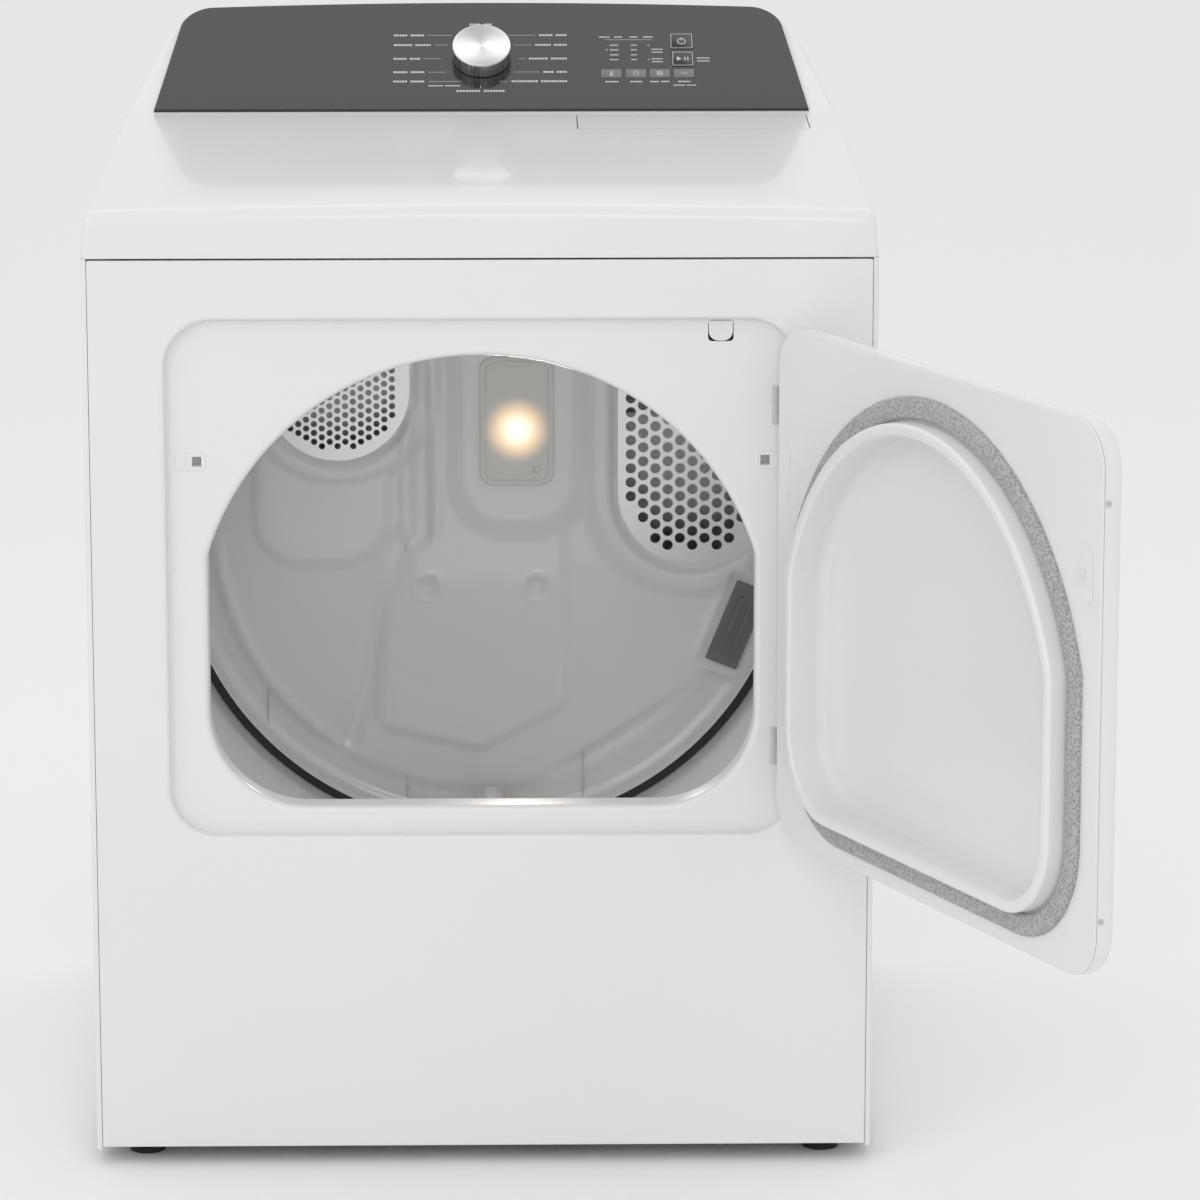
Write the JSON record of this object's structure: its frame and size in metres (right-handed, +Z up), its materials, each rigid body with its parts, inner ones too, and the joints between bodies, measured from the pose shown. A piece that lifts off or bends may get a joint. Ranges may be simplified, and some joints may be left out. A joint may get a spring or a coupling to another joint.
{
  "type": "clothes dryer",
  "caption": "Front-loading vented clothes dryer with a round-topped side-hinged door, sloping rear console, knob, keys, lint screen, drum, belt drive, blower and rear exhaust collar.",
  "frame": {"origin": "centre of the base pan's flat underside, midway across and midway between the front face and the rear flanges; the feet reach below it", "axes": "+Z up, +Y towards the rear along the exhaust collar, +X to the right as seen from the front"},
  "size_m": [0.9056, 1.2638, 1.0333],
  "materials": {
    "white_enamel": "gloss white enamel on steel",
    "white_plastic": "white moulded plastic",
    "bulkhead_enamel": "pale grey enamel",
    "galvanised_steel": "zinc-coated sheet steel",
    "drum_enamel": "powder-coated drum steel",
    "black_gloss": "black gloss plastic",
    "key_grey": "grey key caps",
    "knob_metal": "brushed silver",
    "board_green": "circuit board",
    "grille_metal": "bright perforated steel",
    "lamp_plastic": "frosted lamp cover",
    "bulb_glass": "warm lamp bulb",
    "sensor_grey": "dark grey plastic with steel strips",
    "plated_steel": "plated steel",
    "grey_plastic": "grey moulded plastic",
    "motor_paint": "dark motor paint",
    "belt_rubber": "black rubber",
    "seal_felt": "dark felt",
    "gasket_grey": "grey woven gasket",
    "terminal_brown": "terminal block"
  },
  "bodies": {
    "cabinet": {"left_side_panel": "white_enamel", "right_side_panel": "white_enamel", "rear_panel": "galvanised_steel", "base_pan": "galvanised_steel", "front_panel": "white_enamel", "top_panel": "white_enamel", "console_shell": "white_plastic", "console_fascia": "black_gloss", "control_board": "board_green", "front_bulkhead": "white_enamel", "front_drum_seal": "seal_felt", "rear_bulkhead": "bulkhead_enamel", "rear_drum_seal": "seal_felt", "inlet_grille": "grille_metal", "outlet_grille": "grille_metal", "lamp_lens": "lamp_plastic", "lamp_bulb": "bulb_glass", "moisture_sensor": "sensor_grey", "heater_box": "galvanised_steel", "heater_coil": "plated_steel", "lint_duct": "galvanised_steel", "blower_housing": "grey_plastic", "exhaust_duct": "galvanised_steel", "motor_body": "motor_paint", "drive_belt": "belt_rubber", "roller_shafts": "plated_steel", "hinge_brackets": "plated_steel", "door_catch": "white_plastic", "terminal_block": "terminal_brown", "cabinet_screws": "plated_steel"},
    "door": {"door_outer_panel": "white_enamel", "door_inner_panel": "white_plastic", "door_seal": "gasket_grey", "door_strike": "white_plastic", "door_hinge_pins": "plated_steel", "door_screws": "plated_steel"},
    "knob": {"programme_knob": "knob_metal"},
    "power_button": {"power_button": "black_gloss"},
    "start_button": {"start_button": "black_gloss"},
    "temperature_button": {"temperature_button": "key_grey"},
    "time_button": {"time_button": "key_grey"},
    "options_button": {"options_button": "key_grey"},
    "more_button": {"more_button": "key_grey"},
    "drum": {"drum_shell": "drum_enamel", "drum_baffle_1": "white_plastic", "drum_baffle_2": "white_plastic", "drum_baffle_3": "white_plastic"},
    "motor_rotor": {"motor_shaft": "plated_steel", "motor_pulley": "grey_plastic", "blower_wheel": "grey_plastic"},
    "idler_arm": {"idler_arm": "plated_steel"},
    "idler_pulley": {"idler_pulley": "grey_plastic"},
    "roller_left": {"roller_left": "belt_rubber"},
    "roller_right": {"roller_right": "belt_rubber"},
    "lint_screen": {"lint_screen": "white_plastic"},
    "door_switch_lever": {"door_switch_lever": "white_plastic"},
    "foot_front_left": {"foot_front_left": "belt_rubber"},
    "foot_front_right": {"foot_front_right": "belt_rubber"},
    "foot_rear_left": {"foot_rear_left": "belt_rubber"},
    "foot_rear_right": {"foot_rear_right": "belt_rubber"}
  },
  "joints": [
    {"name": "door_hinge", "type": "hinge", "parent": "cabinet", "child": "door", "pos_m": [0.2872, -0.356, 0.553], "axis": [0, 0, 1], "range_deg": [-115, 0]},
    {"name": "knob_turn", "type": "hinge", "parent": "cabinet", "child": "knob", "pos_m": [0, 0.27929, 0.9692], "axis": [0, -0.6293, 0.7771], "continuous": true},
    {"name": "power_button_press", "type": "slide", "parent": "cabinet", "child": "power_button", "axis": [0, 0.6293, -0.7771], "range_m": [0, 0.0008], "stiffness_N_per_m": 400, "springref_m": -0.0006},
    {"name": "start_button_press", "type": "slide", "parent": "cabinet", "child": "start_button", "axis": [0, 0.6293, -0.7771], "range_m": [0, 0.0008], "stiffness_N_per_m": 400, "springref_m": -0.0006},
    {"name": "temperature_button_press", "type": "slide", "parent": "cabinet", "child": "temperature_button", "axis": [0, 0.6293, -0.7771], "range_m": [0, 0.0008], "stiffness_N_per_m": 400, "springref_m": -0.0006},
    {"name": "time_button_press", "type": "slide", "parent": "cabinet", "child": "time_button", "axis": [0, 0.6293, -0.7771], "range_m": [0, 0.0008], "stiffness_N_per_m": 400, "springref_m": -0.0006},
    {"name": "options_button_press", "type": "slide", "parent": "cabinet", "child": "options_button", "axis": [0, 0.6293, -0.7771], "range_m": [0, 0.0008], "stiffness_N_per_m": 400, "springref_m": -0.0006},
    {"name": "more_button_press", "type": "slide", "parent": "cabinet", "child": "more_button", "axis": [0, 0.6293, -0.7771], "range_m": [0, 0.0008], "stiffness_N_per_m": 400, "springref_m": -0.0006},
    {"name": "drum_spin", "type": "hinge", "parent": "cabinet", "child": "drum", "pos_m": [0, -0.05, 0.49], "axis": [0, 1, 0], "continuous": true},
    {"name": "motor_spin", "type": "hinge", "parent": "cabinet", "child": "motor_rotor", "pos_m": [0.185, 0.1, 0.092], "axis": [0, 1, 0], "continuous": true},
    {"name": "idler_swing", "type": "hinge", "parent": "cabinet", "child": "idler_arm", "pos_m": [0.146, 0.015, 0.045], "axis": [0, 1, 0], "range_deg": [0, 10], "stiffness_Nm_per_rad": 3, "springref_deg": -11.46},
    {"name": "idler_spin", "type": "hinge", "parent": "idler_arm", "child": "idler_pulley", "pos_m": [0.086, 0, 0.085], "axis": [0, 1, 0], "continuous": true},
    {"name": "roller_left_spin", "type": "hinge", "parent": "cabinet", "child": "roller_left", "pos_m": [-0.20798, 0.189, 0.19298], "axis": [0, 1, 0], "continuous": true},
    {"name": "roller_right_spin", "type": "hinge", "parent": "cabinet", "child": "roller_right", "pos_m": [0.20798, 0.189, 0.19298], "axis": [0, 1, 0], "continuous": true},
    {"name": "lint_screen_pull", "type": "slide", "parent": "cabinet", "child": "lint_screen", "axis": [0, -0.342, 0.9397], "range_m": [0, 0.34]},
    {"name": "switch_lever_press", "type": "hinge", "parent": "cabinet", "child": "door_switch_lever", "pos_m": [0.22275, -0.336, 0.7939], "axis": [1, 0, 0], "range_deg": [0, 12], "stiffness_Nm_per_rad": 0.02, "springref_deg": -17.19},
    {"name": "foot_front_left_screw", "type": "slide", "parent": "cabinet", "child": "foot_front_left", "axis": [0, 0, -1], "range_m": [0, 0.02]},
    {"name": "foot_front_right_screw", "type": "slide", "parent": "cabinet", "child": "foot_front_right", "axis": [0, 0, -1], "range_m": [0, 0.02]},
    {"name": "foot_rear_left_screw", "type": "slide", "parent": "cabinet", "child": "foot_rear_left", "axis": [0, 0, -1], "range_m": [0, 0.02]},
    {"name": "foot_rear_right_screw", "type": "slide", "parent": "cabinet", "child": "foot_rear_right", "axis": [0, 0, -1], "range_m": [0, 0.02]}
  ],
  "couplings": [
    {"joint": "motor_spin", "follows": "drum_spin", "ratio": 27.183},
    {"joint": "idler_spin", "follows": "drum_spin", "ratio": 16.31},
    {"joint": "roller_left_spin", "follows": "drum_spin", "ratio": -9.0611},
    {"joint": "roller_right_spin", "follows": "drum_spin", "ratio": -9.0611}
  ]
}
